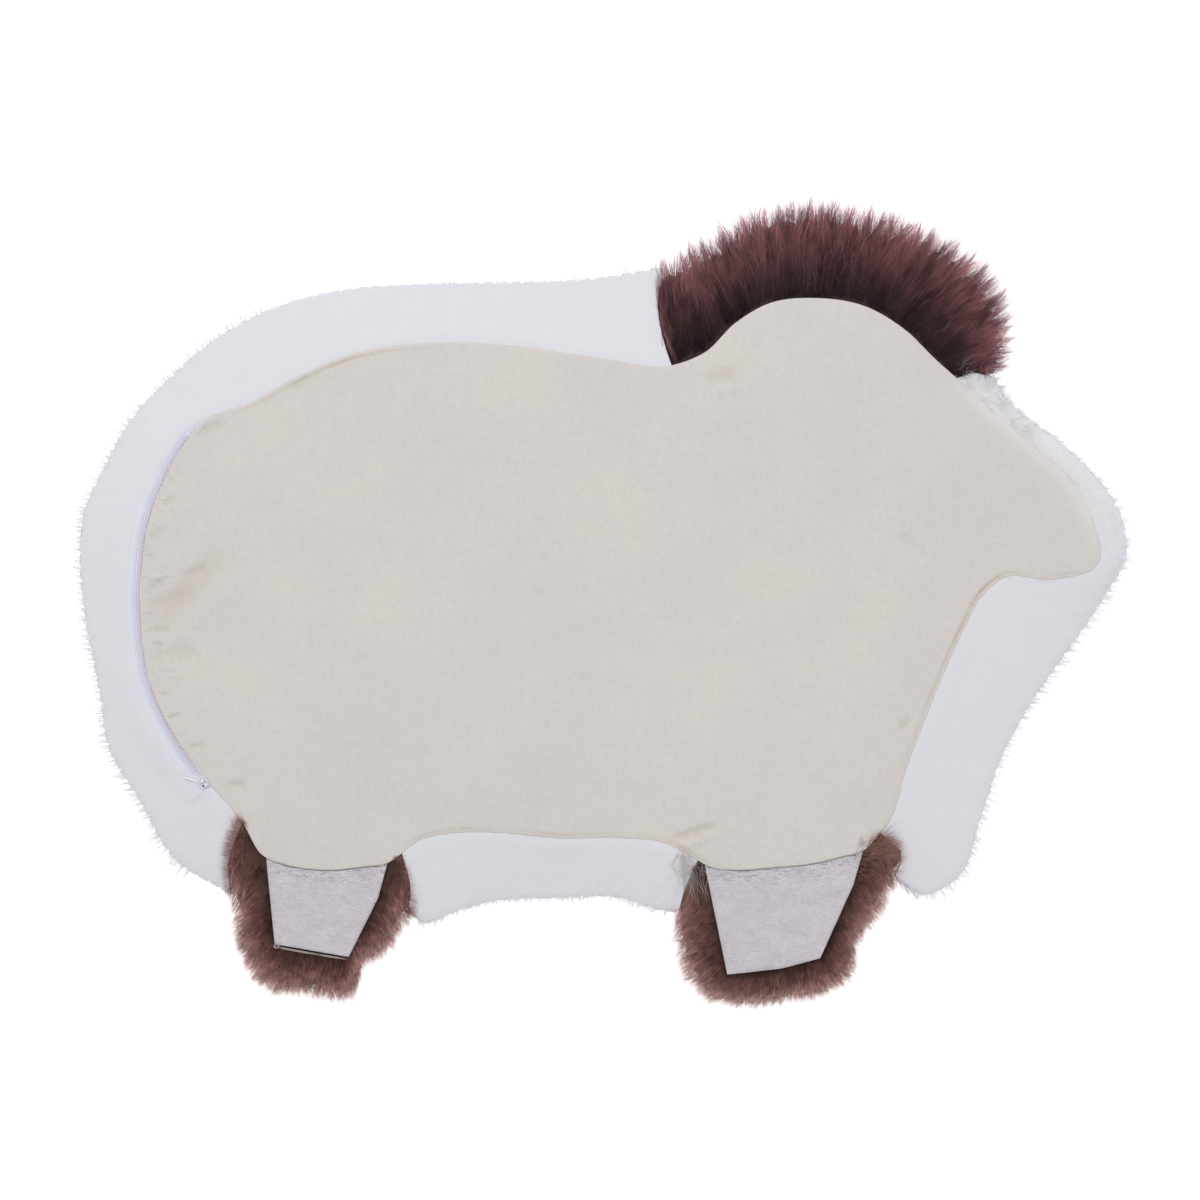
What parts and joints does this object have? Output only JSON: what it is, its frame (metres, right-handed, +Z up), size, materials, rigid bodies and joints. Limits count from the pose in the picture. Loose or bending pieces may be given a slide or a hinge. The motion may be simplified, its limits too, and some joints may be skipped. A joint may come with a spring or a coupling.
{
  "type": "animal shaped kids rug",
  "caption": "Sheepskin rug in a sheep's outline, lying wool down: flat canvas back with a zip on the rump, long fleece standing out all round, dark crest, two brown feet.",
  "frame": {"origin": "on the floor, under the middle of the rug's bounding box", "axes": "+X to the animal's head, +Y to its back, +Z up, out of the canvas backing"},
  "size_m": [0.905, 0.6949, 0.0419],
  "materials": {
    "canvas": "plain woven unbleached cotton canvas",
    "white_wool": "long silky white wool",
    "dark_wool": "long straight dyed wool, dark at the root and lighter at the tip",
    "brown_wool": "short dense dyed wool",
    "grey_leather": "suede side of dyed sheepskin",
    "zip_tape": "fine ribbed white polyester tape",
    "zip_plastic": "white nylon",
    "zip_metal": "white lacquered zinc"
  },
  "bodies": {
    "root": {"backing": "canvas", "body_fleece": "white_wool", "crest_fleece": "dark_wool", "hind_foot_fleece": "brown_wool", "fore_foot_fleece": "brown_wool", "hind_foot_skin": "grey_leather", "fore_foot_skin": "grey_leather", "zip_tape": "zip_tape", "zip_coil": "zip_plastic", "zip_slider": "zip_metal", "zip_pull": "zip_plastic"}
  },
  "joints": []
}
